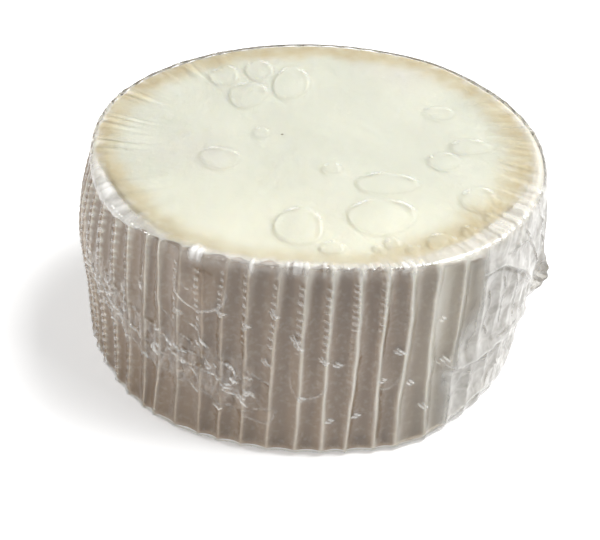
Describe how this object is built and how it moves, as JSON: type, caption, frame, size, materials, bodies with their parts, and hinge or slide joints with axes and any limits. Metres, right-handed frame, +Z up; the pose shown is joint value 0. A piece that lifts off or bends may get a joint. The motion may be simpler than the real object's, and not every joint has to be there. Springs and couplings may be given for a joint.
{
  "type": "piece of goat cheese log in clear film",
  "caption": "Short thick round cut from a fluted goat cheese log, with a flat ivory cut face and ridged white side, shrink-wrapped in clear film.",
  "frame": {"origin": "centre of the flat lower cut face, on the surface that the piece stands on", "axes": "+Z up along the log's axis, -Y to the front, +X to the side with the film's ear"},
  "size_m": [0.0937, 0.0907, 0.041],
  "materials": {
    "clear_film": "tight clear glossy shrink film with fine folds, milky where it is crumpled",
    "goat_cheese": "ivory paste with a yellow ripened ring under a white rind"
  },
  "bodies": {
    "root": {"wrapped_cheese": "clear_film"}
  },
  "joints": []
}
